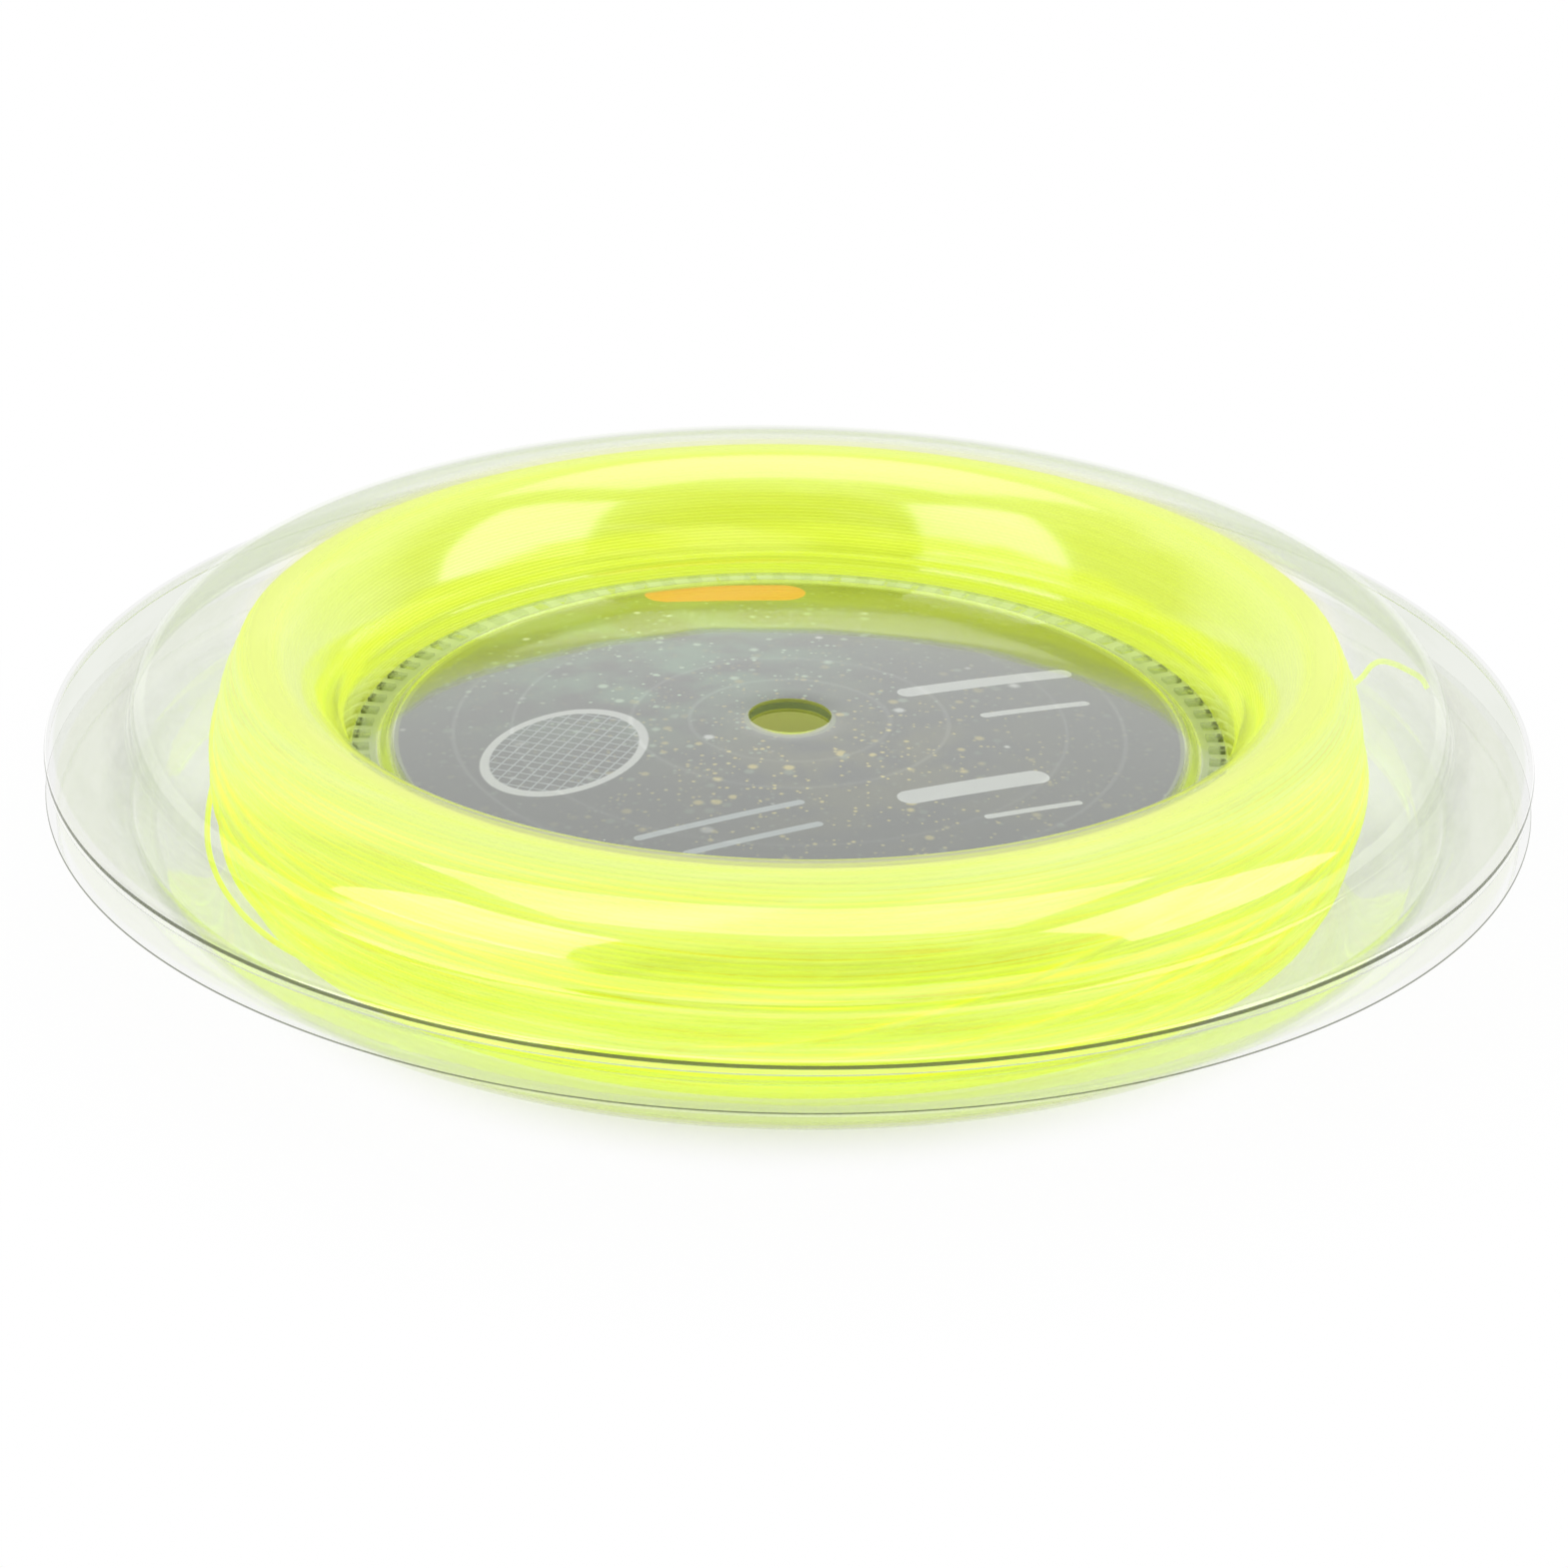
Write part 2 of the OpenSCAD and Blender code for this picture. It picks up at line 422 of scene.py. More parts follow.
    def turned(self, vector: Socket, degrees: float) -> Socket:
        """Turns a vector about the upright axis."""
        node = self.add("ShaderNodeVectorRotate", rotation_type="Z_AXIS")
        return self.supply(node, Vector=vector, Angle=math.radians(degrees)).outputs[0]

    def bump(self, shader: bpy.types.Node, height: Socket, strength: float, depth: float) -> None:
        """Raises and sinks a shader's surface by a height."""
        node = self.add("ShaderNodeBump")
        self.supply(node, Strength=strength, Distance=depth, Height=height)
        self.supply(shader, Normal=node.outputs[0])

    def group(self, tree: bpy.types.NodeTree, **inputs: Value) -> bpy.types.Node:
        """Places a shared effect and feeds its inputs."""
        return self.supply(self.add("ShaderNodeGroup", node_tree=tree), **inputs)


def new_effect(
    name: str, inputs: dict[str, str], outputs: dict[str, str]
) -> tuple[Graph, bpy.types.Node, bpy.types.Node]:
    """Makes an empty shader node group.

    Args:
        name: Name of the effect.
        inputs: Name and kind (Float, Vector or Color) of each input.
        outputs: Name and kind of each output.

    Returns:
        The group's graph, its input node and its output node.
    """
    tree = bpy.data.node_groups.new(name, "ShaderNodeTree")
    graph = Graph(tree)
    for label, kind in inputs.items():
        tree.interface.new_socket(name=label, in_out="INPUT", socket_type=f"NodeSocket{kind}")
    for label, kind in outputs.items():
        tree.interface.new_socket(name=label, in_out="OUTPUT", socket_type=f"NodeSocket{kind}")
    return graph, graph.add("NodeGroupInput"), graph.add("NodeGroupOutput")


class Effects:
    """The shader node groups that more than one finish uses."""

    def __init__(self) -> None:
        """Builds each group once."""
        self.reach = self._reach()
        self.along = self._along()
        self.ripple = self._ripple()
        self.bar = self._bar()
        self.dust = self._dust()

    def radius(self, graph: Graph, place: Socket) -> Socket:
        """Gives a place's distance from the axis, in millimetres."""
        return graph.group(self.reach, Place=place).outputs["Radius"]

    def streak(self, graph: Graph, place: Socket, fineness: float, length: float) -> Socket:
        """Gives streaks that follow the turns."""
        streaks = graph.group(self.along, Place=place, Fineness=fineness, Length=length)
        return streaks.outputs["Streak"]

    @staticmethod
    def _reach() -> bpy.types.NodeTree:
        """Distance from the axis and height, in millimetres."""
        graph, inside, outside = new_effect(
            "reach", {"Place": "Vector"}, {"Radius": "Float", "Height": "Float"}
        )
        x, y, z = graph.split(inside.outputs["Place"])
        graph.feed(outside.inputs["Radius"], graph.product(graph.distance(x, y), 1 / MM))
        graph.feed(outside.inputs["Height"], graph.product(z, 1 / MM))
        return graph.tree

    def _along(self) -> bpy.types.NodeTree:
        """Streaks that follow the turns: fine across them and long round the axis."""
        graph, inside, outside = new_effect(
            "along_the_turns",
            {"Place": "Vector", "Fineness": "Float", "Length": "Float"},
            {"Streak": "Float"},
        )
        reach = graph.group(self.reach, Place=inside.outputs["Place"])
        flat = graph.add("ShaderNodeVectorMath", operation="NORMALIZE")
        graph.feed(flat.inputs[0], graph.stretched(inside.outputs["Place"], (1.0, 1.0, 0.0)))
        east, north, _ = graph.split(flat.outputs[0])
        fine = inside.outputs["Fineness"]
        long = inside.outputs["Length"]
        vector = graph.join(
            graph.total(graph.product(reach.outputs["Radius"], fine), graph.product(east, long)),
            graph.total(graph.product(reach.outputs["Height"], fine), graph.product(north, long)),
            0.0,
        )
        graph.feed(outside.inputs["Streak"], graph.noise(vector, 1.0, 3.0))
        return graph.tree

    @staticmethod
    def _ripple() -> bpy.types.NodeTree:
        """Slow waves that forming leaves in thin sheet, as a height for a Bump node."""
        graph, inside, outside = new_effect(
            "ripple", {"Place": "Vector", "Scale": "Float"}, {"Height": "Float"}
        )
        height = graph.noise(inside.outputs["Place"], inside.outputs["Scale"], 1.0)
        graph.feed(outside.inputs["Height"], height)
        return graph.tree

    @staticmethod
    def _bar() -> bpy.types.NodeTree:
        """A plain bar with round ends, seen from above; sizes are in millimetres."""
        graph, inside, outside = new_effect(
            "plain_bar",
            {"Place": "Vector", "Half Length": "Float", "Half Height": "Float"},
            {"Mask": "Float"},
        )
        x, y, _ = graph.split(inside.outputs["Place"])
        half = inside.outputs["Half Height"]
        reach = graph.math("SUBTRACT", inside.outputs["Half Length"], half)
        beyond = graph.most(graph.math("SUBTRACT", graph.math("ABSOLUTE", x), reach), 0.0)
        edge = graph.math("SUBTRACT", graph.distance(beyond, y), half)
        graph.feed(outside.inputs["Mask"], graph.ramp(edge, 0.08, -0.08))
        return graph.tree

    @staticmethod
    def _dust() -> bpy.types.NodeTree:
        """Round specks of unlike size, strewn over the plan in millimetres."""
        graph, inside, outside = new_effect(
            "dust",
            {"Place": "Vector", "Cell": "Float", "Size": "Float"},
            {"Mask": "Float", "Chance": "Float"},
        )
        node = graph.supply(
            graph.add("ShaderNodeTexVoronoi"),
            Vector=graph.stretched(inside.outputs["Place"], (1.0, 1.0, 0.0)),
            Scale=graph.math("DIVIDE", 1.0, inside.outputs["Cell"]),
        )
        red, green, _ = graph.split(node.outputs["Color"])
        size = graph.product(inside.outputs["Size"], graph.math("POWER", red, 1.8))
        gap = graph.math("DIVIDE", node.outputs["Distance"], graph.most(size, 0.001))
        graph.feed(outside.inputs["Mask"], graph.ramp(gap, 1.0, 0.35))
        graph.feed(outside.inputs["Chance"], green)
        return graph.tree


# Finishes


def rgb(red: float, green: float, blue: float) -> Colour:
    """Makes an opaque colour of three linear values."""
    return red, green, blue, 1.0


BLACK = rgb(0.0, 0.0, 0.0)
WHITE = rgb(1.0, 1.0, 1.0)


def new_material(name: str) -> tuple[bpy.types.Material, Graph, bpy.types.Node]:
    """Makes a material with one Principled shader.

    Args:
        name: Name of the material.

    Returns:
        The material, its graph and the shader's node.
    """
    material = bpy.data.materials.new(name)
    material.use_nodes = True
    graph = Graph(material.node_tree)
    shader = graph.add("ShaderNodeBsdfPrincipled")
    output = graph.add("ShaderNodeOutputMaterial")
    graph.feed(output.inputs["Surface"], shader.outputs["BSDF"])
    return material, graph, shader


def dress(piece: bpy.types.Object, material: bpy.types.Material) -> None:
    """Gives the whole piece one material."""
    if not piece.material_slots:
        piece.data.materials.append(material)
    for slot in piece.material_slots:
        slot.material = material


class Half(Enum):
    """Which of the two sheets a finish is for."""

    UPPER = 1
    LOWER = -1


@dataclass(frozen=True)
class Mark:
    """A place on a sheet that isn't plainly clear: where, in what colour and how strongly.

    Paint is a plain colour. What isn't paint mirrors in its colour. Many marks are painted light:
    painted glows, painted highlights and painted shade lines.
    """

    mask: Socket
    tint: Colour
    cover: float = 0.0
    is_paint: bool = True


@dataclass(frozen=True)
class ClearSheet:
    """Thin clear formed sheet: it mirrors at a slant and is looked through elsewhere.

    The mirror shows only on faces that face the eye, so each wall mirrors once.
    """

    half: Half
    ior: float = 1.58
    roughness: float = 0.05
    wall_roughness: float = 0.13
    film: float = 0.05
    streak_film: float = 0.07
    card_film: float = 0.105
    hump_film: float = 0.07
    hump_paint: float = 0.3
    most_mirror: float = 0.52
    waver: float = 2.5
    dull_heights: Point = (4.6, 7.0)
    dulling: float = 0.75
    ripple_strength: float = 0.25
    ripple_depth: float = 0.4 * MM
    mirror: Colour = rgb(0.93, 0.95, 0.91)
    hump_mirror: Colour = rgb(0.84, 0.91, 0.72)
    upper_mirror: Colour = rgb(0.71, 0.79, 0.57)
    lower_mirror: Colour = rgb(0.90, 0.94, 0.70)
    side_mirror: Colour = rgb(0.66, 0.72, 0.56)
    rim_mirror: Colour = rgb(0.97, 0.98, 0.95)
    rim_painted_shade: Colour = rgb(0.125, 0.145, 0.065)
    cut_edge_highlight: Colour = rgb(0.80, 0.82, 0.78)
    step_glow: Colour = rgb(0.76, 0.87, 0.30)
    card_rim: Colour = rgb(0.52, 0.56, 0.38)
    groove_grey: Colour = rgb(0.52, 0.62, 0.33)
    groove_painted_glow: Colour = rgb(0.78, 0.91, 0.60)
    bore_painted_glow: Colour = rgb(0.46, 0.50, 0.10)
    fold_painted_shade: Colour = rgb(0.56, 0.61, 0.46)
    string_glow: Colour = rgb(0.88, 0.98, 0.25)
    land_glow: Colour = rgb(0.97, 1.0, 0.42)
    low_glow: Colour = rgb(0.80, 0.90, 0.24)

    def build(self, effects: Effects, sizes: SpoolSizes) -> bpy.types.Material:
        """Makes the material.

        Args:
            effects: The shared node groups.
            sizes: The spool's sizes, which place the rim, the fold and the weld.

        Returns:
            The material.
        """
        material, graph, shader = new_material(f"clear_sheet_{self.half.name.lower()}")
        place = graph.place()
        reach = graph.group(effects.reach, Place=place)
        radius = reach.outputs["Radius"]
        above = graph.math("SUBTRACT", reach.outputs["Height"], sizes.middle / MM)

        fresnel = graph.add("ShaderNodeFresnel")
        fresnel.inputs["IOR"].default_value = self.ior
        once = fresnel.outputs[0]
        both = graph.math("SUBTRACT", graph.product(once, 2.0), graph.product(once, once))

        hump, floor_edge, hub = in_mm(sizes.hump_r, sizes.floor_r, sizes.hub_r)
        streak = effects.streak(graph, place, 0.35, 5.0)
        on_hump = graph.band(radius, 67.5, hump + 0.6, 1.5)
        streaked = graph.product(graph.ramp(streak, 0.42, 0.72), graph.ramp(radius, 60.0, 66.0))
        on_card = graph.ramp(radius, floor_edge + 0.5, floor_edge - 0.5)
        film = graph.total(both, self.film, graph.product(streaked, self.streak_film),
                           graph.product(on_card, self.card_film),
                           graph.product(on_hump, self.hump_film))
        sway = graph.product(graph.math("SUBTRACT", streak, 0.5), self.waver)
        wavering = graph.total(above, sway)
        dull_foot = graph.product(graph.band(radius, hub - 0.5, hub + 5.0, 0.5),
                                  graph.band(wavering, *self.dull_heights, 0.8))
        film = graph.product(film, graph.rest(graph.product(dull_foot, self.dulling)))

        brim_mirror = self.upper_mirror if self.half is Half.UPPER else self.lower_mirror
        colour = graph.blend(graph.ramp(radius, 66.0, 69.0), self.mirror, self.hump_mirror)
        colour = graph.blend(graph.ramp(radius, hump, hump + 2.0), colour, brim_mirror)
        alpha = graph.math("MINIMUM", film, self.most_mirror)
        paint = graph.product(on_hump, self.hump_paint)
        for mark in self._marks(graph, place, radius, above, once, streak, sizes):
            colour = graph.blend(mark.mask, colour, mark.tint)
            alpha = graph.most(alpha, graph.product(mark.mask, mark.cover))
            if mark.is_paint:
                paint = graph.most(paint, mark.mask)

        front = graph.rest(graph.add("ShaderNodeNewGeometry").outputs["Backfacing"])
        wall = graph.band(radius, hub + 1.0, 66.0, 0.8)
        graph.supply(
            shader, Base_Color=colour, Metallic=graph.math("SUBTRACT", 1.0, paint, clamp=True),
            Roughness=graph.line(wall, self.wall_roughness - self.roughness, self.roughness),
            Alpha=graph.math("MULTIPLY", alpha, front, clamp=True),
        )

        wave = graph.group(effects.ripple, Place=place, Scale=60.0).outputs["Height"]
        dent = graph.group(effects.ripple, Place=place, Scale=230.0).outputs["Height"]
        near_fold = graph.ramp(radius, hump - 3.0, hump)
        graph.bump(shader, graph.total(wave, graph.product(dent, near_fold, 0.5)),
                   self.ripple_strength, self.ripple_depth)
        return material

    def _marks(self, graph: Graph, place: Socket, radius: Socket, above: Socket, once: Socket,
               streak: Socket, sizes: SpoolSizes) -> list[Mark]:
        """Lists the places where the sheet isn't plainly clear; most of them are painted light.

        Args:
            graph: The material's graph.
            place: The point's place.
            radius: Distance from the axis in millimetres.
            above: Height over the middle plane in millimetres.
            once: How much one face mirrors.
            streak: Streaks that run round the axis.
            sizes: The spool's sizes.

        Returns:
            The places.
        """
        rim, rim_top, hump = in_mm(sizes.rim_r, sizes.rim_half, sizes.hump_r)
        floor_edge, groove, hub = in_mm(sizes.floor_r, sizes.groove_r, sizes.hub_r)
        bore_edge = sizes.bore_r / MM
        side = graph.band(radius, hump - 1.2, hump + 2.4, 1.1)
        # Painted shade: a soft grey-green streak along the fold, in place of its reflection.
        fold = graph.product(graph.band(radius, hump + 0.6, hump + 2.4, 1.2),
                             graph.ramp(streak, 0.25, 0.65))
        # Painted glow: olive-yellow on the bore's wall, in place of the string's light carried in
        # the sheet.
        bore = graph.ramp(radius, bore_edge + 0.12, bore_edge + 0.04)
        _, y, _ = graph.split(place)
        fading = graph.line(graph.ramp(y, 0.030, -0.030), 0.85, 0.15)
        marks = [
            Mark(side, self.side_mirror, is_paint=False),
            Mark(graph.ramp(radius, rim - 1.4, rim - 0.9), self.rim_mirror, is_paint=False),
            Mark(fold, self.fold_painted_shade, 0.20),
            Mark(bore, self.bore_painted_glow, 0.85),
        ]
        if self.half is Half.LOWER:
            # Painted glow: a yellow-green veil on the lower hump's underside, at the front only,
            # in place of the string's light.
            low = graph.product(graph.band(radius, 60.0, hump - 1.0, 1.5),
                                graph.ramp(above, -6.0, -11.0), graph.ramp(y, -0.052, -0.075))
            # Painted shade: a thin dark line along the lower rim's edge, fading towards the back.
            edge = graph.product(graph.ramp(radius, rim - 0.16, rim - 0.08),
                                 graph.ramp(above, -3.08, -2.96), fading)
            return marks + [Mark(low, self.low_glow, 0.54), Mark(edge, self.rim_painted_shade, 0.80)]
        # Painted highlight: a pale yellow band on the crest's land, in place of its reflection.
        land = graph.product(graph.band(radius, 62.0, 66.2, 1.5), graph.ramp(above, 12.0, 13.2))
        # Painted glow: string yellow on the crest where the sheet is seen at a slant.
        crest = graph.product(graph.band(radius, 58.5, 69.0, 1.0), graph.ramp(above, 9.0, 12.0),
                              graph.ramp(once, 0.12, 0.45))
        # Painted shade: a dark olive line along the upper rim's bend, fading towards the back.
        bend = graph.product(graph.ramp(radius, rim - 0.32, rim - 0.2),
                             graph.band(above, 2.42, 2.90, 0.06), fading)
        # Painted highlight: a pale line along the lip's cut edge.
        cut = graph.product(graph.ramp(radius, rim - 0.7, rim - 0.6),
                            graph.ramp(above, rim_top - 1.45, rim_top - 1.6))
        card_rim = graph.band(radius, floor_edge - 0.2, floor_edge + 0.3, 0.2)
        # Painted glow: lime on the step beside the card's edge, in place of the string's light
        # carried in the sheet.
        step = graph.band(radius, floor_edge + 0.5, groove - 0.25, 0.3)
        weld = graph.product(graph.band(radius, groove, hub + 0.1, 0.25),
                             graph.ramp(above, 1.0, 0.8))
        # Painted glow: pale lime on the weld groove at the back, in place of the string's light
        # seen through it.
        far_weld_painted_glow = graph.product(weld, graph.ramp(y, 0.014, 0.036))
        return marks + [
            Mark(land, self.land_glow, 0.55),
            Mark(crest, self.string_glow, 0.85),
            Mark(bend, self.rim_painted_shade, 0.88),
            Mark(cut, self.cut_edge_highlight, 0.75),
            Mark(card_rim, self.card_rim, 0.60),
            Mark(step, self.step_glow, 0.75),
            Mark(weld, self.groove_grey, 0.70),
            Mark(far_weld_painted_glow, self.groove_painted_glow, 0.70),
        ]


@dataclass(frozen=True)
class Nylon:
    """Bright yellow nylon string. Its emission is partly its own fluorescence and partly painted
    light, which flattens the shading between the strands.
    """

    name: str
    plain: Colour
    pale: Colour
    painted_gap_shade: Colour
    glow: float
    roughness: float = 0.36
    fineness: float = 0.85
    specular: float = 0.35
    inner_shade: float = 0.46
    outer_dimming: float = 0.31
    grain_strength: float = 0.2
    grain_depth: float = 0.1 * MM

    def build(self, effects: Effects) -> bpy.types.Material:
        """Makes the material.

        Args:
            effects: The shared node groups.

        Returns:
            The material.
        """
        material, graph, shader = new_material(self.name)
        place = graph.place()
        broad = effects.streak(graph, place, 0.22, 2.2)
        fine = effects.streak(graph, place, self.fineness, 3.0)
        radius = effects.radius(graph, place)
        outer = graph.ramp(radius, 65.0, 68.0)
        depth = graph.line(outer, 0.85, 0.08)
        # Painted highlight: raised streaks turn pale. Painted shade: sunk streaks, the gaps
        # between strands, turn deep amber.
        highlit_streaks = graph.product(graph.ramp(fine, 0.45, 0.72), graph.line(outer, 0.45, 0.15))
        sunk = graph.product(graph.ramp(fine, 0.46, 0.28), depth)
        colour = graph.blend(highlit_streaks, self.plain, self.pale)
        colour = graph.blend(sunk, colour, self.painted_gap_shade)
        # Painted highlight: broad pale patches and a pale band over the crest.
        soft = graph.math("ADD", graph.product(graph.ramp(broad, 0.50, 0.72), 0.5),
                          graph.product(graph.band(radius, 60.0, 66.5, 2.0), 0.5), clamp=True)
        colour = graph.blend(soft, colour, self.pale)
        # Painted light: on the inner side the base colour goes towards black and the emission
        # carries the colour, which flattens the shading; on the outer side the emission is weaker.
        shade = graph.product(graph.rest(outer), self.inner_shade)
        dimming = graph.product(outer, self.outer_dimming)
        graph.supply(
            shader, Base_Color=graph.blend(shade, colour, BLACK),
            Emission_Color=graph.blend(dimming, colour, BLACK), Emission_Strength=self.glow,
            Specular_IOR_Level=self.specular, Roughness=graph.line(fine, 0.12, self.roughness),
        )
        graph.bump(shader, graph.product(fine, depth), self.grain_strength, self.grain_depth)
        return material


@dataclass(frozen=True)
class PrintedCard:
    """Dark printed card: clouds of dust, a strung racket head and plain bars."""

    ink: Colour = rgb(0.066, 0.076, 0.072)
    green: Colour = rgb(0.19, 0.36, 0.23)
    gold: Colour = rgb(0.15, 0.15, 0.08)
    fleck: Colour = rgb(0.56, 0.74, 0.54)
    gold_fleck: Colour = rgb(0.74, 0.64, 0.18)
    white: Colour = rgb(0.74, 0.77, 0.74)
    silver: Colour = rgb(0.50, 0.56, 0.57)
    orange: Colour = rgb(0.88, 0.10, 0.045)
    orange_glow: float = 0.32
    card_edge: Colour = rgb(0.30, 0.36, 0.17)
    tag_centre: Point = (-8.6, 43.6)
    tag_angle: float = 3.0
    tag_size: Point = (20.6, 6.4)
    bar_angle: float = 26.0
    hoop_centre: Point = (-27.0, -9.0)
    hoop_angle: float = -24.0
    hoop_half: Point = (9.0, 12.0)
    mesh_half: float = 0.8
    grain_strength: float = 0.1
    grain_depth: float = 0.05 * MM

    def build(self, effects: Effects, sizes: SpoolSizes) -> bpy.types.Material:
        """Makes the material.

        Args:
            effects: The shared node groups.
            sizes: The spool's sizes, which place the card's edge.

        Returns:
            The material.
        """
        material, graph, shader = new_material("printed_card")
        plan = graph.stretched(graph.place(), (1 / MM, 1 / MM, 1 / MM))
        colour = self._clouds(graph, plan)
        colour = self._dust(graph, effects, plan, colour)
        colour = self._racket_head(graph, plan, colour)
        colour = self._bars(graph, effects, plan, colour)
        tag = self._bar(graph, effects, plan, self.tag_centre, self.tag_angle, *self.tag_size)
        colour = graph.blend(tag, colour, self.orange)
        radius = effects.radius(graph, graph.place())
        label, bore = in_mm(sizes.label_r, sizes.bore_r)
        edge = graph.ramp(radius, label - 0.7, label - 0.4)
        hole = graph.ramp(radius, bore + 0.7, bore + 0.5)
        grain = graph.noise(plan, 6.0)
        graph.supply(
            shader, Base_Color=graph.blend(graph.most(edge, hole), colour, self.card_edge),
            Emission_Color=graph.blend(tag, BLACK, self.orange),
            Emission_Strength=self.orange_glow, Roughness=graph.line(grain, 0.08, 0.12),
        )
        graph.bump(shader, grain, self.grain_strength, self.grain_depth)
        return material

    @staticmethod
    def _from(graph: Graph, plan: Socket, centre: Point) -> Socket:
        """Measures the plan from a centre, in millimetres, and drops the height."""
        return graph.stretched(plan, (1.0, 1.0, 0.0), (-centre[0], -centre[1], 0.0))

    def _near(self, graph: Graph, plan: Socket, centre: Point, reach: float) -> Socket:
        """Fades from 1 at a centre on the plan to 0 at a reach, in millimetres."""
        x, y, _ = graph.split(self._from(graph, plan, centre))
        return graph.ramp(graph.distance(x, y), reach, 0.0)

    def _clouds(self, graph: Graph, plan: Socket) -> Socket:
        """Lays a green and a golden cloud on the dark ground."""
        wisps = graph.noise(plan, 0.11, 5.0)
        green = graph.product(self._near(graph, plan, (-16.0, 20.0), 40.0),
                              graph.ramp(wisps, 0.36, 0.62))
        gold = graph.product(self._near(graph, plan, (9.0, -10.0), 34.0),
                             graph.ramp(wisps, 0.40, 0.60))
        return graph.blend(gold, graph.blend(green, self.ink, self.green), self.gold)

    def _dust(self, graph: Graph, effects: Effects, plan: Socket, colour: Socket) -> Socket:
        """Strews fine pale specks over the back and golden ones over the front.

        Args:
            graph: The material's graph.
            effects: The shared node groups.
            plan: The point's place in millimetres.
            colour: The card's colour so far.

        Returns:
            The colour with the specks on it.
        """
        back = graph.math("ADD", self._near(graph, plan, (-12.0, 18.0), 46.0), 0.12, clamp=True)
        front = graph.math("ADD", self._near(graph, plan, (6.0, -12.0), 42.0), 0.10, clamp=True)
        for cell, size, near, tint, left_out in (
            (0.9, 0.50, back, self.fleck, 0.40),
            (2.3, 0.42, back, self.fleck, 0.20),
            (0.8, 0.56, front, self.gold_fleck, 0.30),
            (2.1, 0.46, front, self.gold_fleck, 0.20),
            (4.6, 0.26, 1.0, self.white, 0.40),
        ):
            dust = graph.group(effects.dust, Place=plan, Cell=cell, Size=size)
            kept = graph.ramp(dust.outputs["Chance"], left_out, left_out + 0.1)
            colour = graph.blend(graph.product(dust.outputs["Mask"], kept, near), colour, tint)
        return colour

    def _racket_head(self, graph: Graph, plan: Socket, colour: Socket) -> Socket:
        """Draws a plain oval hoop with a grid of strings in it."""
        turned = graph.turned(self._from(graph, plan, self.hoop_centre), -self.hoop_angle)
        x, y, _ = graph.split(turned)
        oval = graph.distance(*(
            graph.math("DIVIDE", way, half) for way, half in zip((x, y), self.hoop_half)))
        hoop = graph.band(oval, 0.93, 1.05, 0.015)
        lines = [
            graph.ramp(graph.math("PINGPONG", graph.total(way, 20.0), self.mesh_half), 0.16, 0.08)
            for way in (x, y)
        ]
        grid = graph.product(graph.most(*lines), graph.ramp(oval, 0.97, 0.93), 0.8)
        return graph.blend(hoop, graph.blend(grid, colour, self.silver), self.white)

    def _bar(self, graph: Graph, effects: Effects, plan: Socket, centre: Point, angle: float,
             length: float, height: float) -> Socket:
        """Draws one plain bar.

        Args:
            graph: The material's graph.
            effects: The shared node groups.
            plan: The point's place in millimetres.
            centre: Middle of the bar in millimetres.
            angle: Its slant in degrees.
            length: Its length in millimetres.
            height: Its height in millimetres.

        Returns:
            The bar's mask.
        """
        turned = graph.turned(self._from(graph, plan, centre), -angle)
        return graph.group(effects.bar, Place=turned, Half_Length=length / 2,
                           Half_Height=height / 2).outputs["Mask"]

    def _bars(self, graph: Graph, effects: Effects, plan: Socket, colour: Socket) -> Socket:
        """Draws plain bars on a slant."""
        for centre, length, height, tint in (
            ((24.0, 14.0), 24.0, 2.6, self.white),
            ((30.0, 6.5), 15.0, 1.3, self.white),
            ((22.0, -17.0), 20.0, 3.4, self.white),
            ((29.0, -22.0), 13.0, 1.0, self.white),
            ((-8.0, -27.5), 22.0, 1.2, self.silver),
            ((-4.0, -32.0), 18.0, 1.2, self.silver),
        ):
            mask = self._bar(graph, effects, plan, centre, self.bar_angle, length, height)
            colour = graph.blend(mask, colour, tint)
        return colour


@dataclass(frozen=True)
class WeldedSheet:
    """Clear sheet that the weld has formed into ribs, dull and tinted, with dark marks at the
    ribs' outer ends.
    """

    crown: Colour = rgb(0.50, 0.60, 0.28)
    mark: Colour = rgb(0.11, 0.135, 0.04)
    roughness: float = 0.4
    specular: float = 0.3

    def build(self, effects: Effects, sizes: SpoolSizes) -> bpy.types.Material:
        """Makes the material.

        Args:
            effects: The shared node groups.
            sizes: The spool's sizes, which place the ribs.

        Returns:
            The material.
        """
        material, graph, shader = new_material("welded_sheet")
        place = graph.place()
        hub = sizes.hub_r / MM
        outer = graph.ramp(effects.radius(graph, place), hub - 0.95, hub - 0.6)
        grain = graph.noise(graph.stretched(place, (1 / MM,) * 3), 1.6)
        _, y, _ = graph.split(place)
        # Dark marks at the ribs' outer ends, set by noise, stronger and more opaque towards the
        # front and fading out towards the back.
        front_weight = graph.line(graph.ramp(y, 0.040, 0.016), 0.96, 0.04)
        dark = graph.product(outer, graph.ramp(grain, 0.34, 0.60), front_weight)
        graph.supply(
            shader, Base_Color=graph.blend(dark, self.crown, self.mark),
            Alpha=graph.total(graph.product(dark, 0.45), graph.product(front_weight, 0.20), 0.06),
            Roughness=self.roughness, Specular_IOR_Level=self.specular,
        )
        return material


# The spool


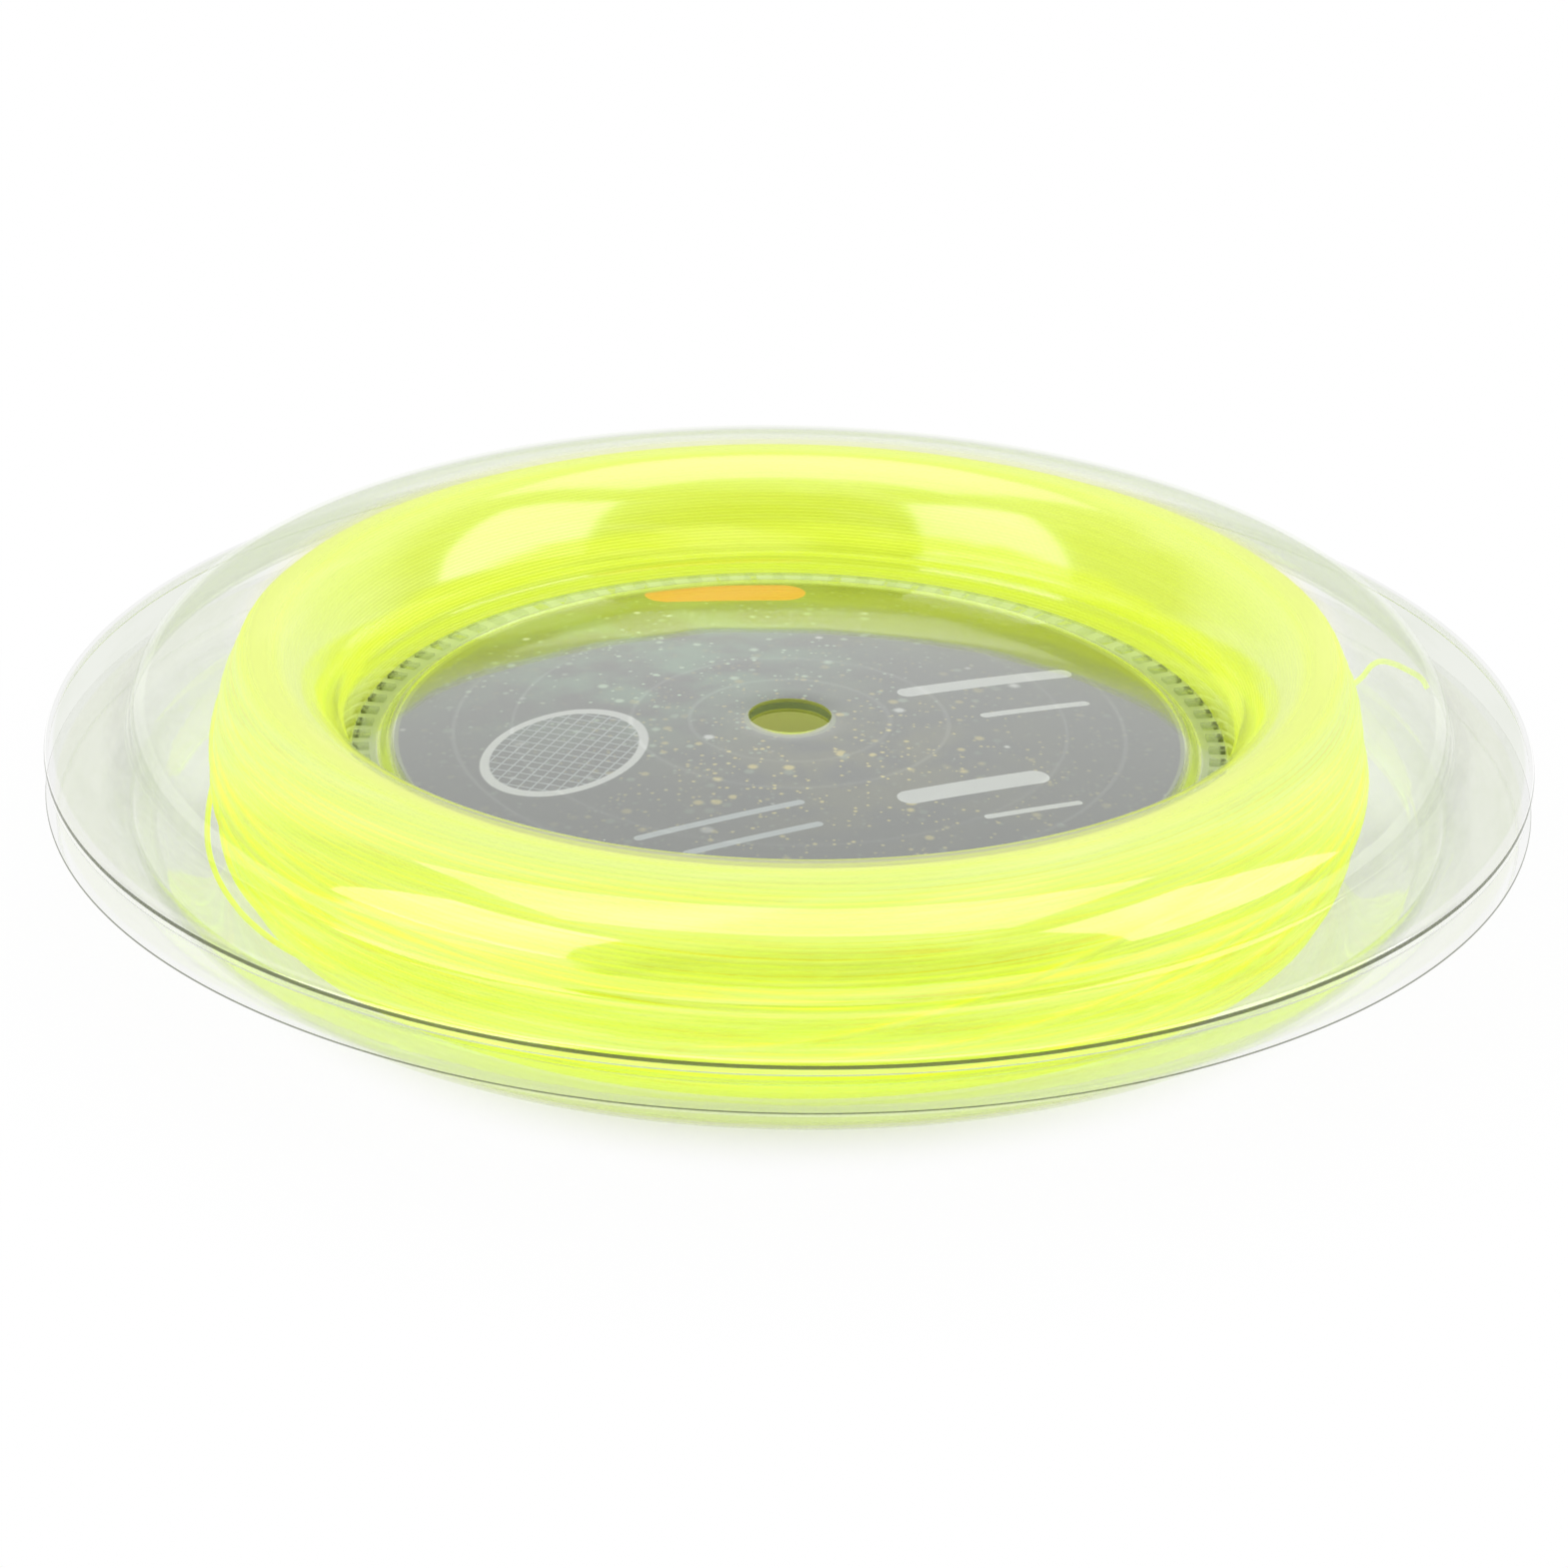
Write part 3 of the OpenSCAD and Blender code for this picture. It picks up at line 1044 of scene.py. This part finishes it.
@dataclass
class FormedSheet:
    """One of the two clear sheets: hub floor, step, weld groove, hub wall, hump, fold and brim."""

    sizes: SpoolSizes
    half: Half
    turn_steps: int = 240
    curve_steps: int = 34
    crown_steps: int = 14
    step_steps: int = 10
    fold_steps: int = 12
    bend_steps: int = 6
    edge_round: float = 0.07 * MM
    smooth_angle: float = 40.0

    def floor(self) -> list[Point]:
        """Draws the hub floor's upper face, from the bore out to the weld groove."""
        s = self.sizes
        if self.half is Half.UPPER:
            edge, groove = s.wall + s.step_height, s.wall
        else:
            edge, groove = s.step_height - 2 * s.card_thickness, 0.0
        face = []
        for i in range(self.crown_steps + 1):
            r = s.bore_r + (s.floor_r - s.bore_r) * i / self.crown_steps
            face.append((r, edge + s.crown_rise * (1 - (r / s.floor_r) ** 2)))
        for i in range(1, self.step_steps + 1):
            k = i / self.step_steps
            face.append((s.floor_r + (s.groove_r - s.floor_r) * k,
                         groove + (edge - groove) * (1 + math.cos(math.pi * k)) / 2))
        return face

    def side(self) -> list[Point]:
        """Draws the open face of the rest, from the hub wall's foot out to the rim."""
        s = self.sizes
        wall = arc((s.hub_r, s.wall), (s.crest_in_r, s.half_height), s.hub_power, self.curve_steps)
        hump = arc((s.hump_r, s.foot_half), (s.crest_out_r, s.half_height), s.hump_power,
                   self.curve_steps, falling=True)
        hump = [point for point in hump if point[1] > s.foot_half + 1.3 * MM]
        fold = bezier(
            hump[-1], (s.hump_r + 0.05 * MM, s.foot_half + 0.15 * MM),
            (s.hump_r + 0.9 * MM, s.foot_half - 0.02 * MM),
            (s.hump_r + 4.8 * MM, s.rim_half + 0.2 * MM), self.fold_steps,
        )
        run = wall + hump + fold[1:]
        if self.half is Half.LOWER:
            return run + [(s.rim_r, s.rim_half)]
        bend = arc((s.rim_r, s.rim_half - s.bend_r), (s.rim_r - s.bend_r, s.rim_half), 2.0,
                   self.bend_steps, falling=True)
        return run + bend + [(s.rim_r, s.rim_half - s.lip_height)]

    def section(self) -> list[Point]:
        """Closes the section, a wall's thickness all the way."""
        s = self.sizes
        floor = self.floor()
        side = self.side()
        inner = beside(side, s.wall)
        weld_corner = (s.hub_r + s.wall, 0.0)
        under = shifted(floor, -s.wall)
        if self.half is Half.UPPER:
            return floor + side + inner[::-1] + [weld_corner] + under[::-1]
        return floor + [weld_corner] + mirrored(inner) + mirrored(side)[::-1] + under[::-1]

    def build(self, effects: Effects) -> None:
        """Models the sheet, dresses it and lets it stand for its CAD node."""
        name, node = {
            Half.UPPER: ("upper_sheet", "top_shell"),
            Half.LOWER: ("lower_sheet", "bottom_shell"),
        }[self.half]
        piece = turned_body(name, self.section(), self.turn_steps, self.sizes.middle)
        softened(piece, self.edge_round, self.smooth_angle)
        handed_over(piece, ClearSheet(self.half).build(effects, self.sizes), "clear_sheet", node)


@dataclass
class HubFittings:
    """The CAD nodes that keep their shape: the weld's ribs and the two printed cards."""

    sizes: SpoolSizes

    def dress(self, effects: Effects) -> None:
        """Dresses the ribs and the cards."""
        dress(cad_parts["weld_ribs"], WeldedSheet().build(effects, self.sizes))
        card = PrintedCard().build(effects, self.sizes)
        for node in ("top_label", "bottom_label"):
            dress(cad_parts[node], card)
            LOG.info("%s dressed", node)


# The string


class Course:
    """The closed way across the winding on which the strings' middles lie."""

    def __init__(self, points: list[Point]) -> None:
        """Measures the way along its points."""
        self.points = points
        self.runs = [0.0]
        for (r0, z0), (r1, z1) in pairwise(points):
            self.runs.append(self.runs[-1] + math.hypot(r1 - r0, z1 - z0))
        self.length = self.runs[-1]

    def at(self, run: float) -> tuple[Point, Point]:
        """Finds the point at a distance along the way.

        Args:
            run: Distance from the start.

        Returns:
            The point, and the direction that points out of the winding there.
        """
        run = min(max(run, 0.0), self.length)
        low, high = 0, len(self.runs) - 1
        while high - low > 1:
            half = (low + high) // 2
            if self.runs[half] <= run:
                low = half
            else:
                high = half
        (r0, z0), (r1, z1) = self.points[low], self.points[low + 1]
        step = self.runs[high] - self.runs[low]
        k = (run - self.runs[low]) / step
        return (r0 + (r1 - r0) * k, z0 + (z1 - z0) * k), (-(z1 - z0) / step, (r1 - r0) / step)


@dataclass
class Winding:
    """The string on the hub: an inner bulk, the outer turns, crossing turns and the free end."""

    sizes: WindingSizes
    middle: float
    seed: int = 11
    rings: int = 96
    close_sway: float = 0.09 * MM
    loose_sway: float = 0.42 * MM
    close_sink: float = 0.07 * MM
    loose_sink: float = 0.30 * MM
    loose_before: float = 1.0 * MM
    loosens_over: float = 2.5 * MM
    drift_step: float = 0.9
    crossings: int = 26
    crossing_lift: float = 0.3 * MM
    route_steps: int = 6

    def outline(self, inset: float, steps: int = 40) -> list[Point]:
        """Draws the winding's section: hub side, crest, outer side, under and back.

        Args:
            inset: How far inside the winding's face it lies.
            steps: Steps of each quarter.

        Returns:
            An open run that starts and ends on the hub's side, in the middle plane.
        """
        w = self.sizes
        top = (w.crest_r, w.half_height - inset)
        upper = arc((w.inner_r + inset, 0.0), top, w.hub_power, steps)
        upper += arc((w.outer_r - inset, 0.0), top, w.outer_power, steps, falling=True)[1:]
        return upper + mirrored(upper)[::-1][1:]

    def place(self, r: float, z: float, angle: float) -> Place:
        """Turns a section point round the axis to its place in the frame."""
        return r * math.cos(angle), r * math.sin(angle), self.middle + z

    def build(self, effects: Effects) -> None:
        """Models and dresses every piece of the string."""
        string = Nylon("bright_nylon", plain=rgb(0.78, 0.93, 0.060), pale=rgb(0.87, 0.99, 0.18),
                       painted_gap_shade=rgb(0.82, 0.82, 0.02), glow=0.64).build(effects)
        shaded = Nylon("shaded_nylon", plain=rgb(0.80, 0.84, 0.020), pale=rgb(0.82, 0.92, 0.04),
                       painted_gap_shade=rgb(0.84, 0.70, 0.010), glow=0.62, fineness=1.2).build(effects)
        # Painted light: the free end gets a paler, lighter-lit copy of the nylon.
        loose = Nylon("pale_lit_nylon", plain=rgb(0.82, 0.94, 0.25), pale=rgb(0.90, 0.99, 0.42),
                      painted_gap_shade=rgb(0.78, 0.86, 0.12), glow=0.55).build(effects)
        self._bulk(shaded)
        self._turns(string)
        self._crossing(string)
        self._slack(string)
        self._free_end(loose)

    def _bulk(self, finish: bpy.types.Material) -> None:
        """Models the inner bulk, which shows in the gaps between the outer turns."""
        section = self.outline(self.sizes.string_r * 1.3, 24)
        piece = turned_body("string_bulk", section, 144, self.middle)
        only_selected(piece)
        bpy.ops.object.shade_smooth_by_angle(angle=math.radians(60))
        handed_over(piece, finish, "string", "string_core")

    def _turns(self, finish: bpy.types.Material) -> None:
        """Models the outer turns as one string that sways from side to side as it goes round.

        Each turn has its own phases, and goes over into the next turn's on its way round.

        Args:
            finish: The string's material.
        """
        w = self.sizes
        chance = random.Random(self.seed)
        course = Course(self.outline(w.string_r))
        waves = (2, 3, 5)
        turns = int(course.length / w.close_pitch) + 2
        drift = [[chance.uniform(0, TURN) for _ in waves] for _ in range(turns)]
        for i in range(1, turns):
            drift[i] = [before + chance.uniform(-self.drift_step, self.drift_step)
                        for before in drift[i - 1]]
        depth = [chance.uniform(0, TURN) for _ in range(turns)]
        path = []
        run = 0.0
        while run < course.length:
            t = len(path) / self.rings
            k = int(t)
            angle = TURN * t
            (near_r, _), _ = course.at(run)
            beyond = near_r - w.crest_r + self.loose_before
            loose = min(max(beyond / self.loosens_over, 0.0), 1.0)
            sway = 0.0
            for wave, phase0, phase1 in zip(waves, drift[k], drift[k + 1]):
                sway += math.sin(wave * angle + phase0 + (phase1 - phase0) * (t - k)) / len(waves)
            sway *= self.close_sway + (self.loose_sway - self.close_sway) * loose
            sink = 0.5 + 0.5 * math.sin(2 * angle + depth[k] + (depth[k + 1] - depth[k]) * (t - k))
            sink *= self.close_sink + (self.loose_sink - self.close_sink) * loose
            (r, z), (out_r, out_z) = course.at(run + sway)
            path.append(self.place(r - out_r * sink, z - out_z * sink, angle))
            run += (w.close_pitch + (w.loose_pitch - w.close_pitch) * loose) / self.rings
        piece = strands("string_turns", [path], w.string_r, 1)
        handed_over(piece, finish, "string", "string_outer_layer")

    def _crossing(self, finish: bpy.types.Material) -> None:
        """Models the turns that cross the others on the outer side."""
        chance = random.Random(self.seed + 1)
        paths = []
        for _ in range(self.crossings):
            start = chance.uniform(0, TURN)
            sweep = math.radians(chance.uniform(70, 150))
            rise = chance.uniform(-0.8, 0.8) * self.sizes.half_height
            fall = -rise * chance.uniform(0.2, 1.0)
            paths.append(self._crossing_path(start, sweep, rise, fall, self.crossing_lift))
        piece = strands("string_crossing_turns", paths, self.sizes.string_r, 1)
        handed_over(piece, finish, "string")

    def _slack(self, finish: bpy.types.Material) -> None:
        """Models the slack turn, which stands off the outer side, and one that lies nearer."""
        paths = [self._routed(route) for route in (
            ((177, 68.0, -1.0), (184, 69.4, -2.4), (190, 70.6, -3.6), (197, 72.0, -4.3),
             (202, 72.7, -5.2), (206, 72.7, -6.3), (210, 72.2, -7.4), (215, 70.9, -8.5),
             (221, 68.6, -9.3), (227, 65.8, -9.8)),
            ((186, 68.2, -1.4), (193, 69.5, -2.9), (199, 70.4, -4.5), (205, 70.7, -6.0),
             (212, 70.0, -7.5), (219, 68.6, -8.7), (226, 66.6, -9.5)),
        )]
        piece = strands("string_slack_turns", paths, self.sizes.string_r, 2)
        handed_over(piece, finish, "string")

    def _routed(self, route: tuple[Place, ...]) -> list[Place]:
        """Smooths a route of angles in degrees, with radii and heights in millimetres."""
        path = [self.place(r * MM, z * MM, math.radians(angle)) for angle, r, z in route]
        return smoothed(path, self.route_steps)

    def _crossing_path(
        self, start: float, sweep: float, z0: float, z1: float, lift: float
    ) -> list[Place]:
        """Draws a string that rises out of the outer side, crosses it and dips back in.

        Args:
            start: Angle at which it starts.
            sweep: Angle through which it goes.
            z0: Height over the middle plane where it starts.
            z1: Height over the middle plane where it ends.
            lift: How far its middle stands off the outer turns half way.

        Returns:
            The points of its middle.
        """
        w = self.sizes
        sunk = 2.2 * w.string_r
        steps = max(int(math.degrees(sweep) / 3), 12)
        path = []
        for i in range(steps + 1):
            k = i / steps
            z = z0 + (z1 - z0) * (k - math.sin(TURN * k) / TURN * 0.6)
            share = min(abs(z) / (w.half_height - w.string_r), 1.0)
            bulge = w.outer_r - w.string_r - w.crest_r
            side_r = w.crest_r + bulge * math.sqrt(1 - share * share)
            rise = min(math.sin(math.pi * k) * 1.6, 1.0) ** 0.8
            off = (lift + sunk + w.string_r) * rise - sunk
            path.append(self.place(side_r + off, z, start + sweep * k))
        return path

    def _free_end(self, finish: bpy.types.Material) -> None:
        """Models the string's free end, from between two turns out to the inside of the hump."""
        path = self._routed((
            (6.4, 67.0, 5.4), (6.6, 69.0, 6.1), (6.6, 70.4, 7.3), (6.6, 71.4, 8.7),
            (6.5, 72.5, 9.35), (6.4, 74.0, 9.1), (6.2, 76.0, 8.2), (6.0, 77.6, 7.2),
            (5.6, 78.3, 6.1),
        ))
        piece = strands("string_end", [path], self.sizes.string_r, 3)
        handed_over(piece, finish, "string", "string_tail")


def smoothed(path: list[Place], steps: int) -> list[Place]:
    """Rounds a route through the same points.

    Args:
        path: The route's points.
        steps: Steps between each two of them.

    Returns:
        A finer route.
    """
    points = [Vector(p) for p in path]
    fine = []
    for i in range(len(points) - 1):
        a = points[max(i - 1, 0)]
        b, c = points[i], points[i + 1]
        d = points[min(i + 2, len(points) - 1)]
        for k in range(steps):
            t = k / steps
            fine.append(tuple(0.5 * (2 * b + (c - a) * t + (2 * a - 5 * b + 4 * c - d) * t ** 2
                                     + (3 * b - a - 3 * c + d) * t ** 3)))
    return [*fine, tuple(points[-1])]


# The studio


@dataclass(frozen=True)
class SoftBox:
    """A large plain lamp.

    Its azimuth runs from +Y towards +X, and its tilt is 0 where it faces level and 90 where it
    faces down, both in degrees.
    """

    name: str
    azimuth: float
    tilt: float
    reach: float
    lift: float
    width: float
    height: float
    radiance: float

    def build(self) -> None:
        """Makes the lamp and turns it towards the reel's axis."""
        a, t = math.radians(self.azimuth), math.radians(self.tilt)
        outwards = Vector((math.sin(a), math.cos(a), 0.0))
        lamp = bpy.data.lights.new(self.name, "AREA")
        lamp.shape = "RECTANGLE"
        lamp.size, lamp.size_y = self.width, self.height
        lamp.energy = self.radiance * math.pi * self.width * self.height
        holder = bpy.data.objects.new(self.name, lamp)
        bpy.context.scene.collection.objects.link(holder)
        holder.location = outwards * self.reach + Vector((0.0, 0.0, self.lift))
        back = outwards * math.cos(t) + Vector((0.0, 0.0, math.sin(t)))
        holder.rotation_euler = back.to_track_quat("Z", "Y").to_euler()


@dataclass
class Studio:
    """Plain pale floor, soft light and the camera."""

    floor_size: float = 6.0
    floor_stretch: Place = (1.12, 1.0, 1.0)
    floor_grey: Colour = rgb(0.86, 0.86, 0.86)
    floor_painted_under_reel: Colour = rgb(0.44, 0.48, 0.20)
    glow_under: Colour = rgb(0.23, 0.24, 0.09)
    world_light: float = 0.55
    dimmest_mirrored: float = 0.06
    left_way: Place = (-0.819, -0.574, 0.0)
    below_box_light: float = 1.5
    lens: float = 137.667
    distance: float = 0.72937
    camera_elevation: float = 24.261
    camera_turns: Place = (6.13514e-3, -7.73987e-4, -1.936114e-2)
    clear_walls: int = 32

    def build(self, middle: float) -> None:
        """Makes the floor, the world, the lamps and the camera.

        Args:
            middle: Height of the middle plane.
        """
        scene = bpy.context.scene
        scene.view_settings.view_transform = "Standard"
        scene.cycles.transparent_max_bounces = self.clear_walls
        self._floor()
        self._world()
        for box in (
            SoftBox("left_box", -123.5, 0.0, 1.1, 0.885, 0.87, 1.25, 1.65),
            SoftBox("right_box", 100.0, 0.0, 1.1, 0.950, 0.93, 1.28, 1.65),
            SoftBox("top_box", 0.0, 84.0, 0.14, 1.3, 1.2, 0.9, 1.0),
        ):
            box.build()
        self._camera(middle)

    def _floor(self) -> None:
        """Lays the floor, which is white to the camera and in mirrors and keeps a faint shadow;
        under the reel it shows the camera painted light, a yellow-olive glow.
        """
        nothing_selected()
        bpy.ops.mesh.primitive_plane_add(size=self.floor_size)
        floor = bpy.context.object
        floor.name = "floor"
        material = bpy.data.materials.new("pale_floor")
        material.use_nodes = True
        graph = Graph(material.node_tree)
        x, y, _ = graph.split(graph.stretched(graph.place(), self.floor_stretch))
        reach = graph.distance(x, y)
        open_floor = graph.total(graph.product(graph.ramp(reach, 0.056, 0.084), 0.97),
                                 graph.product(graph.ramp(reach, 0.09, 0.13), 0.03))
        path = graph.add("ShaderNodeLightPath")
        to_camera = path.outputs["Is Camera Ray"]
        seen = graph.product(graph.most(to_camera, path.outputs["Is Glossy Ray"]), open_floor)
        # Painted light under the reel, for the camera only: the floor there turns yellow-olive and
        # glows faintly, in place of the light that comes through the string.
        under = graph.product(graph.ramp(reach, 0.056, 0.046), to_camera)
        diffuse = graph.add("ShaderNodeBsdfDiffuse")
        shaded = graph.blend(under, self.floor_grey, self.floor_painted_under_reel)
        graph.feed(diffuse.inputs["Color"], graph.blend(seen, shaded, BLACK))
        glow = graph.add("ShaderNodeEmission")
        graph.feed(glow.inputs["Color"], graph.blend(under, WHITE, self.glow_under))
        graph.feed(glow.inputs["Strength"], graph.most(seen, under))
        both = graph.add("ShaderNodeAddShader")
        graph.feed(both.inputs[0], diffuse.outputs[0])
        graph.feed(both.inputs[1], glow.outputs[0])
        output = graph.add("ShaderNodeOutputMaterial")
        graph.feed(output.inputs["Surface"], both.outputs[0])
        dress(floor, material)

    def _world(self) -> None:
        """Makes the surroundings: white to the camera, and dim on the camera's side in mirrors."""
        world = bpy.data.worlds.new("studio")
        bpy.context.scene.world = world
        world.use_nodes = True
        graph = Graph(world.node_tree)
        direction = graph.add("ShaderNodeTexCoord").outputs["Generated"]
        _, y, z = graph.split(direction)
        beside = graph.product(graph.ramp(y, -0.80, -0.40), 0.40)
        far = graph.product(graph.most(graph.ramp(y, 0.10, 0.65), graph.ramp(z, 0.76, 0.98)), 0.94)
        towards = graph.add("ShaderNodeVectorMath", operation="DOT_PRODUCT")
        graph.feed(towards.inputs[0], direction)
        towards.inputs[1].default_value = self.left_way
        below_box = graph.product(graph.ramp(towards.outputs["Value"], 0.90, 0.94),
                                  graph.ramp(z, 0.30, 0.24))
        mirrored_light = graph.total(graph.most(beside, far), self.dimmest_mirrored,
                                     graph.product(below_box, self.below_box_light))
        path = graph.add("ShaderNodeLightPath")
        strength = graph.add("ShaderNodeMix", data_type="FLOAT")
        graph.feed(strength.inputs[0], path.outputs["Is Glossy Ray"])
        strength.inputs[2].default_value = self.world_light
        graph.feed(strength.inputs[3], mirrored_light)
        seen = graph.most(strength.outputs[0], path.outputs["Is Camera Ray"])
        background = graph.add("ShaderNodeBackground")
        graph.feed(background.inputs["Strength"], seen)
        output = graph.add("ShaderNodeOutputWorld")
        graph.feed(output.inputs["Surface"], background.outputs[0])

    def _camera(self, middle: float) -> None:
        """Makes the camera, which looks at the middle of the reel with slight turns of its own.

        Args:
            middle: Height of the middle plane.
        """
        e = math.radians(self.camera_elevation)
        eye = Vector((0.0, -self.distance * math.cos(e), self.distance * math.sin(e)))
        ahead = -eye.normalized()
        right = Vector((1.0, 0.0, 0.0))
        up = right.cross(ahead)
        pitch, yaw, roll = self.camera_turns
        view = (Matrix.Rotation(roll, 3, "Z") @ Matrix.Rotation(pitch, 3, "X")
                @ Matrix.Rotation(yaw, 3, "Y") @ Matrix((right, up, -ahead)))
        lens = bpy.data.cameras.new("camera")
        lens.lens = self.lens
        lens.sensor_width = 36.0
        lens.clip_start = 0.01
        camera = bpy.data.objects.new("camera", lens)
        bpy.context.scene.collection.objects.link(camera)
        place = Matrix.Translation(eye + Vector((0, 0, middle)))
        camera.matrix_world = place @ view.transposed().to_4x4()
        bpy.context.scene.camera = camera


# Making it


def clear_startup() -> None:
    """Removes what an empty Blender file starts with."""
    for name in ("Cube", "Light", "Camera"):
        if name in bpy.data.objects:
            bpy.data.objects.remove(bpy.data.objects[name])


def main() -> None:
    """Builds the reel in its order and writes how large it came out."""
    logging.basicConfig(level=logging.INFO, format="%(message)s")
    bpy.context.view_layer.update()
    clear_startup()
    sizes = SpoolSizes.from_frame()
    Studio().build(sizes.middle)
    effects = Effects()
    Winding(WindingSizes(), sizes.middle).build(effects)
    HubFittings(sizes).dress(effects)
    for half in Half:
        FormedSheet(sizes, half).build(effects)
    nothing_selected()
    LOG.info("string reel finished")


if __name__ == "__main__":
    main()
